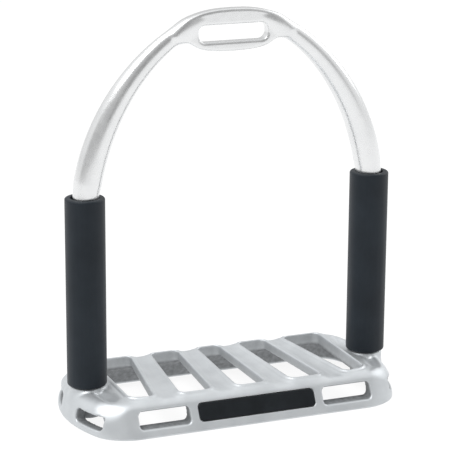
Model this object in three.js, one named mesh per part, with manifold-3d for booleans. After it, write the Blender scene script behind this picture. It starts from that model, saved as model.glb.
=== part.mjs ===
// Jointed stirrup iron: a polished bow with a leather eye, an open cast tread, and in each arm a
// rubber sleeve over a pinned linkage that lets the tread tilt fore and aft and sway sideways.
// Millimetres, +Z up. The origin is on the ground under the middle of the tread, X runs from arm
// to arm and -Y faces the viewer. Left is -X and right is +X.
import * as THREE from 'three';
import { mergeVertices } from 'three/addons/utils/BufferGeometryUtils.js';
import Module from 'manifold-3d';

const wasm = await Module();
wasm.setup();

// Clearances
const GAP = 0.3;

// Arms
const ARM_X = 69;
const SLEEVE_R = 8.95;
const SLEEVE_BORE_R = 6.5;
const SLEEVE_BOTTOM_Z = 15.4;
const SLEEVE_TOP_Z = 101.6;

// Tread casting
const TREAD_HALF_WIDTH = 78.2;
const TREAD_HALF_DEPTH = 37.5;
const END_ARC_R = 64.6;
const END_SHIFT_X = -1.65;
const CORNER_R = 9;
const END_STEPS = 5;
const CORNER_STEPS = 5;
const DECK_Z = 14.6;
const LIP_Z = 15.6;
const LIP_WIDTH = 2.2;
const FRONT_SLOPE = 0.54;
const BACK_SLOPE = 0.44;
const END_SLOPE = 0.09;
const SHOULDER_R = 6.6;
const WALL = 5;
const FOOT_CHAMFER = 0.7;
const CAVITY_FRONT_Y = -28.3;
const CAVITY_TOP_Z = 9.4;
const BAR_UNDERSIDE_Z = 11;
const OPENING_FRONT_Y = -26;
const OPENING_BACK_Y = 28.2;
const RELIEF_HALF_WIDTH = 57;

// Necks and hidden seats in the tread
const NECK_R = 7.9;
const NECK_FOOT_R = 6.6;
const SEAT_BOTTOM_Z = 1;
const SCREW_RECESS_R = 5;
const WEB_BOTTOM_Z = 6;
const WEB_TOP_Z = 9;

// Windows in the tread wall and the name plate
const WINDOW_NEAR_X = 32.1;
const WINDOW_FAR_X = 56.1;
const WINDOW_LOW_Z = 3.5;
const WINDOW_HIGH_Z = 10.7;
const END_WINDOW_LENGTH = 19.2;
const END_WINDOW_Y = 20.5;
const END_WINDOW_LOW_Z = 3;
const END_WINDOW_HIGH_Z = 9;
const PLATE_LENGTH = 55.5;
const PLATE_HEIGHT = 7.9;
const PLATE_THICK = 1;
const PLATE_MID_Z = 7.6;

// Linkage inside each sleeve
const CORE_R = 5.6;
const PIN_R = 2;
const PIN_LENGTH = 10;
const TONGUE = 4;
const EYE_R = 5.3;
const TILT_Z = 30;
const LOWER_Z = 48;
const UPPER_Z = 84;
const SHANK_WIDTH = 7;

// Bow
const LEG_R = 5.9;
const ARCH_START_Z = 93.8;
const ARCH_HEIGHT = 85.2;
const ARCH_POWER = 1.827;
const EYE_HALF_THICK = 2.75;
const EYE_SLOT_HALF = 16.4;
const EYE_SLOT_LOW_Z = 166.9;
const EYE_SLOT_HIGH_Z = 174.5;
const BOW_TOP_Z = 181.5;

const FINISH = {
  bow: { color: 0xd9dbdc, metalness: 0.9, roughness: 0.28 },
  tread: { color: 0xc6c9cb, metalness: 0.8, roughness: 0.45 },
  rubber: { color: 0x1d2227, metalness: 0, roughness: 0.75 },
  plate: { color: 0x23282c, metalness: 0.1, roughness: 0.5 },
  steel: { color: 0x9ea2a5, metalness: 0.9, roughness: 0.35 },
};

// ---- Solid helpers -----------------------------------------------------------------------------

function toSolid(geometry) {
  let bare = geometry.index ? geometry.clone() : geometry;
  bare.deleteAttribute('normal');
  bare.deleteAttribute('uv');
  bare = mergeVertices(bare, 1e-4);
  const mesh = new wasm.Mesh({
    numProp: 3,
    vertProperties: new Float32Array(bare.attributes.position.array),
    triVerts: new Uint32Array(bare.index.array),
  });
  return new wasm.Manifold(mesh);
}

function toGeometry(solid) {
  const mesh = solid.getMesh();
  const geometry = new THREE.BufferGeometry();
  geometry.setAttribute('position', new THREE.BufferAttribute(mesh.vertProperties, 3));
  geometry.setIndex(new THREE.BufferAttribute(mesh.triVerts, 1));
  geometry.computeVertexNormals();
  return geometry;
}

function named(name, geometry, finish, x = 0, y = 0, z = 0) {
  const mesh = new THREE.Mesh(geometry, new THREE.MeshStandardMaterial(finish));
  mesh.name = name;
  mesh.position.set(x, y, z);
  return mesh;
}

// A closed skin through rings that all have the same number of points, capped at both ends.
function loft(rings) {
  const count = rings[0].length;
  const positions = rings.flat().flatMap((p) => [p.x, p.y, p.z]);
  const index = [];
  for (let i = 0; i + 1 < rings.length; i += 1) {
    for (let j = 0; j < count; j += 1) {
      const a = i * count + j;
      const b = i * count + ((j + 1) % count);
      index.push(a, b, b + count, a, b + count, a + count);
    }
  }
  const last = (rings.length - 1) * count;
  for (let j = 1; j + 1 < count; j += 1) {
    index.push(0, j + 1, j, last, last + j, last + j + 1);
  }
  const geometry = new THREE.BufferGeometry();
  geometry.setAttribute('position', new THREE.Float32BufferAttribute(positions, 3));
  geometry.setIndex(index);
  return geometry;
}

function extrude(shape, depth, curveSegments = 6) {
  return new THREE.ExtrudeGeometry(shape, { depth, bevelEnabled: false, curveSegments });
}

// A cylinder that stands on Z = low, with its axis along Z.
function rod(radius, low, high, sides = 28) {
  const geometry = new THREE.CylinderGeometry(radius, radius, high - low, sides);
  geometry.rotateX(Math.PI / 2);
  return geometry.translate(0, 0, (low + high) / 2);
}

function block(width, depth, low, high) {
  return new THREE.BoxGeometry(width, depth, high - low).translate(0, 0, (low + high) / 2);
}

// A cylinder across the arm at height z, along X or along Y.
function crossRod(axis, radius, length, z, sides = 32) {
  const geometry = new THREE.CylinderGeometry(radius, radius, length, sides);
  if (axis === 'x') {
    geometry.rotateZ(Math.PI / 2);
  }
  return geometry.translate(0, 0, z);
}

// A straight-sided shape with its corners rounded.
function roundedPolygon(points, radius) {
  const shape = new THREE.Shape();
  points.forEach((corner, i) => {
    const before = points[(i + points.length - 1) % points.length];
    const after = points[(i + 1) % points.length];
    const start = corner.clone().add(before.clone().sub(corner).setLength(radius));
    const end = corner.clone().add(after.clone().sub(corner).setLength(radius));
    if (i === 0) {
      shape.moveTo(start.x, start.y);
    } else {
      shape.lineTo(start.x, start.y);
    }
    shape.quadraticCurveTo(corner.x, corner.y, end.x, end.y);
  });
  shape.closePath();
  return shape;
}

function roundedRectangle(width, height, radius) {
  const x = width / 2;
  const y = height / 2;
  const corners = [[-x, -y], [x, -y], [x, y], [-x, y]];
  return roundedPolygon(corners.map(([px, py]) => new THREE.Vector2(px, py)), radius);
}

// The corners of a convex polygon moved outwards so that each side shifts by the same distance.
function grown(points, distance) {
  return points.map((corner, i) => {
    const before = points[(i + points.length - 1) % points.length];
    const after = points[(i + 1) % points.length];
    const u = corner.clone().sub(before).normalize();
    const v = after.clone().sub(corner).normalize();
    const turn = u.x * v.y - u.y * v.x;
    return corner.clone().addScaledVector(u, distance / turn).addScaledVector(v, -distance / turn);
  });
}

// ---- Tread -------------------------------------------------------------------------------------

// How far the end wall has moved in from the ground outline at height z.
function endInset(z) {
  const start = DECK_Z - SHOULDER_R;
  const rise = Math.min(Math.max(z - start, 0), SHOULDER_R);
  return END_SLOPE * z + SHOULDER_R - Math.sqrt(SHOULDER_R ** 2 - rise ** 2);
}

// A quarter of the plan outline, from the middle of the end to the long side: half width a, half
// depth b, a bowed end and a round corner.
function outlineQuarter(a, b, corner) {
  const cy = b - corner;
  const cx = a - END_ARC_R + Math.sqrt((END_ARC_R - corner) ** 2 - cy ** 2);
  const turn = Math.atan2(cy, cx - a + END_ARC_R);
  const points = [];
  for (let i = 0; i <= END_STEPS; i += 1) {
    const t = (turn * i) / END_STEPS;
    points.push([a - END_ARC_R + END_ARC_R * Math.cos(t), END_ARC_R * Math.sin(t)]);
  }
  for (let i = 1; i <= CORNER_STEPS; i += 1) {
    const t = turn + ((Math.PI / 2 - turn) * i) / CORNER_STEPS;
    points.push([cx + corner * Math.cos(t), cy + corner * Math.sin(t)]);
  }
  return points;
}

// The whole plan outline at height z, shrunk by inset. The front wall leans more than the back, and
// both ends stand a little further left than the arms do.
function outlineRing(z, inset) {
  const a = TREAD_HALF_WIDTH - endInset(z) - inset;
  const corner = CORNER_R - Math.min(inset, CORNER_R - 3);
  const back = outlineQuarter(a, TREAD_HALF_DEPTH - BACK_SLOPE * z - inset, corner);
  const front = outlineQuarter(a, TREAD_HALF_DEPTH - FRONT_SLOPE * z - inset, corner);
  const upper = back.concat(back.slice().reverse().map(([x, y]) => [-x, y]));
  const lower = front.concat(front.slice().reverse().map(([x, y]) => [-x, y]));
  const under = lower.slice(1, -1).reverse().map(([x, y]) => [x, -y]);
  return upper.concat(under).map(([x, y]) => new THREE.Vector3(x + END_SHIFT_X, y, z));
}

function treadShell() {
  const levels = [FOOT_CHAMFER, 8, 9.8, 11.4, 12.8, 13.9, DECK_Z];
  const rings = levels.map((z) => outlineRing(z, 0));
  rings.unshift(outlineRing(0, FOOT_CHAMFER));
  rings[rings.length - 1] = outlineRing(DECK_Z, 0.4);
  const cavity = [-1, CAVITY_TOP_Z].map((z) => outlineRing(z, WALL));
  const frontWall = toSolid(block(200, 40, -2, CAVITY_TOP_Z + 1)).translate([0, CAVITY_FRONT_Y - 20, 0]);
  const frontRoom = toSolid(block(124, 8, -1, CAVITY_TOP_Z)).translate([0, CAVITY_FRONT_Y + 4, 0]);
  const hollow = toSolid(loft(cavity)).subtract(frontWall).add(frontRoom);
  return toSolid(loft(rings)).subtract(hollow);
}

// The five openings between the slanting bars, as corner points seen from above.
function deckOpenings() {
  const backY = OPENING_BACK_Y;
  const frontY = OPENING_FRONT_Y;
  const half = [
    [[19.2, frontY], [34.2, frontY], [28.6, backY], [15.4, backY]],
    [[46.8, frontY], [57, frontY + 2.2], [57, backY], [38.6, backY]],
  ];
  const points = half.map((quad) => quad.map(([x, y]) => new THREE.Vector2(x, y)));
  const mirrored = points.map((quad) => quad.map((p) => new THREE.Vector2(-p.x, p.y)).reverse());
  const middle = [[-6.9, frontY], [6.9, frontY], [5.4, backY], [-5.4, backY]];
  return [...points, ...mirrored, middle.map(([x, y]) => new THREE.Vector2(x, y))];
}

function cutDeck(solid) {
  let result = solid;
  for (const opening of deckOpenings()) {
    const lip = extrude(roundedPolygon(grown(opening, LIP_WIDTH), 4), LIP_Z - DECK_Z + 1);
    lip.translate(0, 0, DECK_Z - 1);
    result = result.add(toSolid(lip));
  }
  for (const opening of deckOpenings()) {
    const hole = extrude(roundedPolygon(opening, 3), 30).translate(0, 0, -5);
    result = result.subtract(toSolid(hole));
  }
  const depth = OPENING_BACK_Y - OPENING_FRONT_Y;
  const relief = block(2 * RELIEF_HALF_WIDTH, depth, CAVITY_TOP_Z - 1, BAR_UNDERSIDE_Z);
  relief.translate(0, OPENING_FRONT_Y + depth / 2, 0);
  return result.subtract(toSolid(relief));
}

// A shallow hollow in the deck in front of and behind each neck.
function cutHollows(solid) {
  let result = solid;
  for (const side of [-1, 1]) {
    for (const end of [-1, 1]) {
      const scoop = new THREE.SphereGeometry(1, 12, 10).scale(3, 9, 3.6);
      scoop.rotateZ(0.18 * side * end);
      scoop.translate(65.6 * side, 14.5 * end, DECK_Z + 0.6);
      result = result.subtract(toSolid(scoop));
    }
  }
  return result;
}

function neckSolid() {
  const top = SLEEVE_BOTTOM_Z - GAP;
  const profile = [
    [0, SEAT_BOTTOM_Z], [NECK_FOOT_R - 0.4, SEAT_BOTTOM_Z], [NECK_FOOT_R, SEAT_BOTTOM_Z + 0.4],
    [NECK_FOOT_R, 7.4], [NECK_R - 0.3, 9], [NECK_R, 10], [NECK_R, top - 0.4],
    [NECK_R - 0.4, top], [0, top],
  ];
  const points = profile.map(([r, z]) => new THREE.Vector2(r, z));
  return toSolid(new THREE.LatheGeometry(points, 32).rotateX(Math.PI / 2));
}

// The seat for one stud: a square hole from above, a web, and a recess for the screw from below.
function seatCut() {
  const square = block(SHANK_WIDTH + 2 * GAP, SHANK_WIDTH + 2 * GAP, WEB_TOP_Z, SLEEVE_BOTTOM_Z + 1);
  const screwHole = rod(PIN_R + GAP + 0.2, WEB_BOTTOM_Z - 1, WEB_TOP_Z + 1, 18);
  const recess = rod(SCREW_RECESS_R, -2, WEB_BOTTOM_Z, 32);
  return toSolid(square).add(toSolid(screwHole)).add(toSolid(recess));
}

function cutWindows(solid) {
  let result = solid;
  const width = WINDOW_FAR_X - WINDOW_NEAR_X;
  const height = WINDOW_HIGH_Z - WINDOW_LOW_Z;
  for (const side of [-1, 1]) {
    const front = extrude(roundedRectangle(width, height, 1.8), 20).rotateX(Math.PI / 2);
    front.translate((side * (WINDOW_FAR_X + WINDOW_NEAR_X)) / 2, -22, WINDOW_LOW_Z + height / 2);
    result = result.subtract(toSolid(front));
    for (const end of [-1, 1]) {
      result = result.subtract(toSolid(endWindow(side, end)));
    }
  }
  return result;
}

function endWindow(side, end) {
  const height = END_WINDOW_HIGH_Z - END_WINDOW_LOW_Z;
  const lean = Math.asin(END_WINDOW_Y / END_ARC_R);
  const cut = extrude(roundedRectangle(END_WINDOW_LENGTH, height, 2.2), 14);
  cut.rotateX(Math.PI / 2).rotateZ(Math.PI / 2).translate(-7, 0, 0);
  cut.rotateZ(side > 0 ? end * lean : Math.PI - end * lean);
  const x = TREAD_HALF_WIDTH - END_ARC_R * (1 - Math.cos(lean));
  const mid = END_WINDOW_LOW_Z + height / 2;
  return cut.translate(side * x + END_SHIFT_X, end * END_WINDOW_Y, mid);
}

// Places a shape drawn flat at the origin on the sloping front wall, at the height of the plate.
function onFrontWall(geometry) {
  const y = FRONT_SLOPE * PLATE_MID_Z - TREAD_HALF_DEPTH;
  const lean = Math.atan(FRONT_SLOPE);
  return geometry.rotateX(Math.PI / 2 - lean).translate(0, y, PLATE_MID_Z);
}

function treadGeometry() {
  let solid = cutHollows(cutDeck(treadShell()));
  for (const side of [-1, 1]) {
    solid = solid.add(neckSolid().translate([side * ARM_X, 0, 0]));
  }
  for (const side of [-1, 1]) {
    solid = solid.subtract(seatCut().translate([side * ARM_X, 0, 0]));
  }
  const pocket = extrude(
    roundedRectangle(PLATE_LENGTH + 2 * GAP, PLATE_HEIGHT + 2 * GAP, 2),
    PLATE_THICK + 4,
  ).translate(0, 0, -PLATE_THICK);
  return toGeometry(cutWindows(solid).subtract(toSolid(onFrontWall(pocket))));
}

function plateGeometry() {
  const plate = extrude(roundedRectangle(PLATE_LENGTH, PLATE_HEIGHT, 1.8), PLATE_THICK);
  return onFrontWall(plate.translate(0, 0, GAP - PLATE_THICK));
}

// ---- Linkage -----------------------------------------------------------------------------------

function sleeveGeometry() {
  const z = [SLEEVE_BOTTOM_Z, SLEEVE_TOP_Z];
  const edge = 0.6;
  const profile = [
    [SLEEVE_BORE_R, z[0]], [SLEEVE_R - edge, z[0]], [SLEEVE_R, z[0] + edge],
    [SLEEVE_R, z[1] - edge], [SLEEVE_R - edge, z[1]], [SLEEVE_BORE_R, z[1]],
    [SLEEVE_BORE_R, z[0]],
  ];
  const points = profile.map(([r, h]) => new THREE.Vector2(r, h));
  return new THREE.LatheGeometry(points, 32).rotateX(Math.PI / 2);
}

// A fork eye about a cross pin: the material within EYE_R of the pin, plus all that lies beyond it
// on the fork's own side, cut by the slot that takes the tongue. up is +1 when the fork opens upwards.
function forkEnd(axis, pinZ, bodyZ, up) {
  const tip = pinZ + up * EYE_R;
  const low = Math.min(bodyZ, tip);
  const high = Math.max(bodyZ, tip);
  const roundEnd = toSolid(crossRod(axis, EYE_R + 0.2, 30, pinZ, 28));
  const belowPin = toSolid(block(30, 30, Math.min(bodyZ, pinZ), Math.max(bodyZ, pinZ)));
  const column = toSolid(rod(CORE_R, low, high, 28));
  const slotWidth = TONGUE + 2 * GAP;
  const slotFar = pinZ + up * (EYE_R + 2);
  const slotNear = pinZ - up * (EYE_R + 0.5);
  const slot = block(
    axis === 'x' ? slotWidth : 30,
    axis === 'x' ? 30 : slotWidth,
    Math.min(slotFar, slotNear),
    Math.max(slotFar, slotNear),
  );
  return column.intersect(roundEnd.add(belowPin)).subtract(toSolid(slot));
}

// A flat tongue about a cross pin that runs to height bodyZ.
function tongueEnd(axis, pinZ, bodyZ, width = 2 * EYE_R) {
  const eye = toSolid(crossRod(axis, EYE_R, TONGUE, pinZ, 28));
  const bar = block(
    axis === 'x' ? TONGUE : width,
    axis === 'x' ? width : TONGUE,
    Math.min(pinZ, bodyZ),
    Math.max(pinZ, bodyZ),
  );
  return eye.add(toSolid(bar));
}

function pinHole(axis, z) {
  return toSolid(crossRod(axis, PIN_R + GAP, 30, z, 18));
}

function pinGeometry(axis) {
  const edge = 0.4;
  const half = PIN_LENGTH / 2;
  const profile = [[0, -half], [PIN_R - edge, -half], [PIN_R, edge - half],
    [PIN_R, half - edge], [PIN_R - edge, half], [0, half]];
  const geometry = new THREE.LatheGeometry(profile.map(([r, h]) => new THREE.Vector2(r, h)), 18);
  return axis === 'x' ? geometry.rotateZ(Math.PI / 2) : geometry;
}

function studGeometry() {
  const foot = SLEEVE_BOTTOM_Z;
  const shank = block(SHANK_WIDTH, SHANK_WIDTH, WEB_TOP_Z + GAP, foot + 2);
  const thread = rod(PIN_R + GAP, WEB_TOP_Z - 1, foot + 3, 18);
  const fork = forkEnd('x', TILT_Z, foot, 1);
  return toGeometry(fork.add(toSolid(shank)).subtract(toSolid(thread)).subtract(pinHole('x', TILT_Z)));
}

function screwGeometry() {
  const headTop = WEB_BOTTOM_Z - 0.8 - 2 * GAP;
  const head = toSolid(rod(4.2, 1.4, headTop, 32));
  const shank = toSolid(rod(PIN_R, headTop - 0.5, SLEEVE_BOTTOM_Z + 2, 18));
  const socket = toSolid(new THREE.CylinderGeometry(1.8, 1.8, 2, 6).rotateX(Math.PI / 2));
  return toGeometry(head.add(shank).subtract(socket.translate([0, 0, 2.2])));
}

function washerGeometry() {
  const low = WEB_BOTTOM_Z - 0.8 - GAP;
  const high = WEB_BOTTOM_Z - GAP;
  const bore = PIN_R + GAP;
  const profile = [[bore, low], [4.4, low], [4.4, high], [bore, high], [bore, low]];
  const points = profile.map(([r, h]) => new THREE.Vector2(r, h));
  return new THREE.LatheGeometry(points, 32).rotateX(Math.PI / 2);
}

function knuckleGeometry() {
  const body = TILT_Z + EYE_R + 0.9;
  const tongue = tongueEnd('x', TILT_Z, body + 1).intersect(toSolid(rod(CORE_R, 0, body + 1, 28)));
  const fork = forkEnd('y', LOWER_Z, body, 1);
  const solid = tongue.add(fork).subtract(pinHole('x', TILT_Z)).subtract(pinHole('y', LOWER_Z));
  return toGeometry(solid);
}

function linkGeometry() {
  const lower = tongueEnd('y', LOWER_Z, (LOWER_Z + UPPER_Z) / 2 + 1, 8.4);
  const upper = tongueEnd('y', UPPER_Z, (LOWER_Z + UPPER_Z) / 2 - 1, 8.4);
  const core = toSolid(rod(CORE_R, LOWER_Z - 8, UPPER_Z + 8, 28));
  const solid = lower.add(upper).intersect(core);
  return toGeometry(solid.subtract(pinHole('y', LOWER_Z)).subtract(pinHole('y', UPPER_Z)));
}

// ---- Bow ---------------------------------------------------------------------------------------

// The middle line of the bow above the sleeves is a quarter superellipse on each side.
function archPoint(t) {
  const c = Math.max(Math.cos(t), 0) ** (2 / ARCH_POWER);
  const s = Math.max(Math.sin(t), 0) ** (2 / ARCH_POWER);
  return new THREE.Vector3(ARM_X * c, 0, ARCH_START_Z + ARCH_HEIGHT * s);
}

// Half width across the arch and half depth fore and aft, from the sleeve (0) to the crown (1).
function barHalfWidth(u) {
  const swell = THREE.MathUtils.smoothstep(u, 0.09, 0.15) * 0.4;
  return LEG_R + swell - 2.5 * THREE.MathUtils.smoothstep(u, 0.15, 0.95);
}

function barHalfDepth(u) {
  const swell = THREE.MathUtils.smoothstep(u, 0.09, 0.15) * 0.2;
  return LEG_R + swell - 3.1 * THREE.MathUtils.smoothstep(u, 0.2, 0.95);
}

function barRing(centre, outward, halfWidth, halfDepth) {
  const sides = 16;
  const ring = [];
  for (let j = 0; j < sides; j += 1) {
    const t = (2 * Math.PI * j) / sides;
    const p = centre.clone().addScaledVector(outward, halfWidth * Math.cos(t));
    p.y += halfDepth * Math.sin(t);
    ring.push(p);
  }
  return ring;
}

// One side of the bow, from the fork end of the leg up to the middle of the eye, on +X.
function halfBar() {
  const steps = 24;
  const crown = 1.38;
  const rings = [78, 86, 92].map((z) => (
    barRing(new THREE.Vector3(ARM_X, 0, z), new THREE.Vector3(1, 0, 0), LEG_R, LEG_R)
  ));
  for (let i = 1; i <= steps; i += 1) {
    const t = (crown * i) / steps;
    const along = archPoint(t + 0.01).sub(archPoint(t - 0.01)).normalize();
    const outward = new THREE.Vector3(along.z, 0, -along.x);
    rings.push(barRing(archPoint(t), outward, barHalfWidth(i / steps), barHalfDepth(i / steps)));
  }
  return rings;
}

// The front view of the eye: a crown above the leather slot and a thinner sill below it.
function eyeOutline() {
  const shape = new THREE.Shape();
  const right = [[28.6, 171.5], [24.4, 175.4], [20, 178.3], [15, 180.1], [8, 181.2]];
  const under = [[24.5, 167.8], [20.8, 166.9], [18, 165.3], [14.5, 163.8], [8, 162.8]];
  shape.moveTo(0, 162.5);
  shape.splineThru(under.slice().reverse().map(([x, z]) => new THREE.Vector2(x, z)));
  shape.lineTo(27.5, 169.5);
  shape.lineTo(...right[0]);
  shape.splineThru([...right.slice(1), [0, BOW_TOP_Z]].map(([x, z]) => new THREE.Vector2(x, z)));
  shape.splineThru(right.slice().reverse().map(([x, z]) => new THREE.Vector2(-x, z)));
  shape.lineTo(-27.5, 169.5);
  shape.lineTo(-24.5, 167.8);
  shape.splineThru(under.slice(1).map(([x, z]) => new THREE.Vector2(-x, z)));
  shape.closePath();
  return shape;
}

function bowGeometry() {
  const right = toSolid(loft(halfBar()));
  const left = right.mirror([1, 0, 0]);
  const plate = extrude(eyeOutline(), 2 * EYE_HALF_THICK, 3).rotateX(Math.PI / 2);
  plate.translate(0, EYE_HALF_THICK, 0);
  const slotHeight = EYE_SLOT_HIGH_Z - EYE_SLOT_LOW_Z;
  const slot = extrude(roundedRectangle(2 * EYE_SLOT_HALF, slotHeight, 2.9), 28);
  slot.rotateX(Math.PI / 2).translate(0, 20, EYE_SLOT_LOW_Z + slotHeight / 2);
  let solid = right.add(left).add(toSolid(plate)).subtract(toSolid(slot));
  for (const side of [-1, 1]) {
    const trim = toSolid(block(30, 30, 60, UPPER_Z)).subtract(toSolid(crossRod('y', EYE_R, 30, UPPER_Z, 28)));
    const cut = toSolid(block(30, TONGUE + 2 * GAP, 60, UPPER_Z + EYE_R + 0.5));
    const opening = trim.add(cut).add(pinHole('y', UPPER_Z));
    solid = solid.subtract(opening.translate([side * ARM_X, 0, 0]));
  }
  return toGeometry(solid);
}

// ---- Assembly ----------------------------------------------------------------------------------

const group = new THREE.Group();
group.add(named('tread', treadGeometry(), FINISH.tread));
group.add(named('front_plate', plateGeometry(), FINISH.plate));
group.add(named('bow', bowGeometry(), FINISH.bow));

for (const [side, x] of [['left', -ARM_X], ['right', ARM_X]]) {
  group.add(named(`${side}_sleeve`, sleeveGeometry(), FINISH.rubber, x));
  group.add(named(`${side}_stud`, studGeometry(), FINISH.steel, x));
  group.add(named(`${side}_screw`, screwGeometry(), FINISH.steel, x));
  group.add(named(`${side}_washer`, washerGeometry(), FINISH.steel, x));
  group.add(named(`${side}_tilt_pin`, pinGeometry('x'), FINISH.steel, x, 0, TILT_Z));
  group.add(named(`${side}_knuckle`, knuckleGeometry(), FINISH.steel, x));
  group.add(named(`${side}_lower_pin`, pinGeometry('y'), FINISH.steel, x, 0, LOWER_Z));
  group.add(named(`${side}_link`, linkGeometry(), FINISH.steel, x));
  group.add(named(`${side}_upper_pin`, pinGeometry('y'), FINISH.steel, x, 0, UPPER_Z));
}

export default group;
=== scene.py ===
"""Finished looks for a jointed stirrup iron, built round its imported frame.

The shapes are worked out in millimetres in the frame's own axes: +Z up, X from arm to arm, -Y towards
the front wall with the plate. Every mesh is handed over in metres. The two castings are solids written
as distance fields: a function gives, for any point, roughly how far it lies outside the solid (less
than zero is inside), and the skin is the net of quads over the points where it is zero.
"""

import logging
import math
from dataclasses import dataclass, field
from enum import Enum
from typing import Callable

import bpy
import numpy as np
from mathutils import Matrix, Vector


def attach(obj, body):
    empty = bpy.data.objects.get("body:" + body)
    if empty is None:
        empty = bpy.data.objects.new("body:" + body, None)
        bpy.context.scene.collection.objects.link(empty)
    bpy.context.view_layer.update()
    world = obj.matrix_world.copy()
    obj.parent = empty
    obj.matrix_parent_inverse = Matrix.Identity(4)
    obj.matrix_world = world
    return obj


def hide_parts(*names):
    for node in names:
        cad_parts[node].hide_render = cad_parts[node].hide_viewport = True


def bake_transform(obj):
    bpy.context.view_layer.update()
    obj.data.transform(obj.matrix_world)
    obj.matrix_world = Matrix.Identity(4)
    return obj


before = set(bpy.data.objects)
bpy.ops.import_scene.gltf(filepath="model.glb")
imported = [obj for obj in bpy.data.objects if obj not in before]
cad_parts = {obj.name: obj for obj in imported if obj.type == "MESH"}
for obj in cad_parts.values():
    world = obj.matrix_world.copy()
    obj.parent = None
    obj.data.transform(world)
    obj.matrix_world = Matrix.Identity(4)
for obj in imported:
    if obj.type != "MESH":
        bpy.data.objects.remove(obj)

log = logging.getLogger("stirrup_iron")

MM = 0.001
ARM_X = 69.0
Array = np.ndarray
Field = Callable[[Array, Array, Array], Array]
Socket = bpy.types.NodeSocket
Colour = tuple[float, float, float]
Place = tuple[float, float, float]


class Side(Enum):
    """The two arms of the iron, with the sign of their X."""

    LEFT = -1
    RIGHT = 1

    @property
    def label(self) -> str:
        """The word that starts the names of this arm's pieces."""
        return self.name.lower()


# ---- Curves and distance fields ----


def ramp(value: Array, start: float, end: float) -> Array:
    """Smooth step from 0 at start to 1 at end: t * t * (3 - 2t), with t the clipped share of the way.

    Args:
        value: Where to take the step.
        start: The value where it leaves 0.
        end: The value where it reaches 1.

    Returns:
        The step's height, the same shape as value.
    """
    share = np.clip((value - start) / (end - start), 0.0, 1.0)
    return share * share * (3.0 - 2.0 * share)


def meet(a: Array, b: Array, radius: float | Array) -> Array:
    """Where two solids overlap, with the edge between them rounded.

    The larger distance, except within radius of both faces, where it is the distance to a quarter
    circle of that radius.

    Args:
        a: Distance field of one solid.
        b: Distance field of the other.
        radius: Radius of the rounded edge.

    Returns:
        Distance field of the overlap.
    """
    beyond = np.hypot(np.maximum(a + radius, 0.0), np.maximum(b + radius, 0.0))
    return np.minimum(np.maximum(a, b), -radius) + beyond


def cut(a: Array, b: Array, radius: float | Array) -> Array:
    """Solid a less solid b, with the new edges rounded to radius."""
    return meet(a, -b, radius)


def join(a: Array, b: Array, radius: float) -> Array:
    """Solid a and solid b together, with a hollow fillet of that radius where they meet."""
    return -meet(-a, -b, radius)


def melt(a: Array, b: Array, reach: float | Array) -> Array:
    """Two solids run together softly: the smaller distance less (reach - |a - b|)^2 / 4 reach."""
    close = np.maximum(reach - np.abs(a - b), 0.0)
    return np.minimum(a, b) - close * close / (4.0 * reach)


def rounded_box(u: Array, v: Array, half_u: float | Array, half_v: float, radius: float) -> Array:
    """Distance in a plane to a rectangle about the origin with round corners.

    Args:
        u: First coordinate.
        v: Second coordinate.
        half_u: Half the side along u.
        half_v: Half the side along v.
        radius: Corner radius.

    Returns:
        Distance outside the rectangle.
    """
    over_u = np.abs(u) - half_u + radius
    over_v = np.abs(v) - half_v + radius
    corner = np.hypot(np.maximum(over_u, 0.0), np.maximum(over_v, 0.0))
    return corner + np.minimum(np.maximum(over_u, over_v), 0.0) - radius


def rounded_quad(x: Array, y: Array, corners: list[tuple[float, float]], radius: float) -> Array:
    """Distance in plan to a convex four-sided opening with round corners.

    Each side gives the distance past its line plus radius; the result is the root of the summed
    squares of those above zero, less radius, or the largest of them inside.

    Args:
        x: Plan X.
        y: Plan Y.
        corners: The four corners, anticlockwise.
        radius: Corner radius.

    Returns:
        Distance outside the opening.
    """
    square, deepest = 0.0, -np.inf
    for (x0, y0), (x1, y1) in zip(corners, corners[1:] + corners[:1]):
        length = math.hypot(x1 - x0, y1 - y0)
        past = ((x - x0) * (y1 - y0) - (y - y0) * (x1 - x0)) / length + radius
        square = square + np.maximum(past, 0.0) ** 2
        deepest = np.maximum(deepest, past)
    return np.sqrt(square) + np.minimum(deepest, 0.0) - radius


def egg(u: Array, v: Array, w: Array, axes: Place) -> Array:
    """Distance to an ellipsoid about the origin: k (k - 1) over the length of its slope.

    Args:
        u: First coordinate.
        v: Second coordinate.
        w: Third coordinate.
        axes: The three half axes.

    Returns:
        Distance outside the ellipsoid.
    """
    a, b, c = axes
    k = np.sqrt((u / a) ** 2 + (v / b) ** 2 + (w / c) ** 2) + 1e-6
    slope = np.sqrt((u / a**2) ** 2 + (v / b**2) ** 2 + (w / c**2) ** 2) + 1e-6
    return k * (k - 1.0) / slope


def outline_distance(x: Array, z: Array, points: Array) -> Array:
    """Distance in a plane to a closed outline of straight pieces, negative inside.

    The distance is the least over the pieces; a point is inside if a ray from it crosses an odd
    number of pieces.

    Args:
        x: First coordinate.
        z: Second coordinate.
        points: Outline points, one row each.

    Returns:
        Signed distance, shaped like x and z together.
    """
    x, z = np.broadcast_arrays(x, z)
    least = np.full(x.shape, np.inf)
    inside = np.zeros(x.shape, bool)
    for (ax, az), (bx, bz) in zip(points, np.roll(points, -1, axis=0)):
        ex, ez = bx - ax, bz - az
        share = np.clip(((x - ax) * ex + (z - az) * ez) / (ex * ex + ez * ez), 0.0, 1.0)
        least = np.minimum(least, (x - ax - share * ex) ** 2 + (z - az - share * ez) ** 2)
        if ez:
            crossing = ax + (z - az) / ez * ex
            inside ^= ((az > z) != (bz > z)) & (x < crossing)
    return np.where(inside, -1.0, 1.0) * np.sqrt(least)


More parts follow.
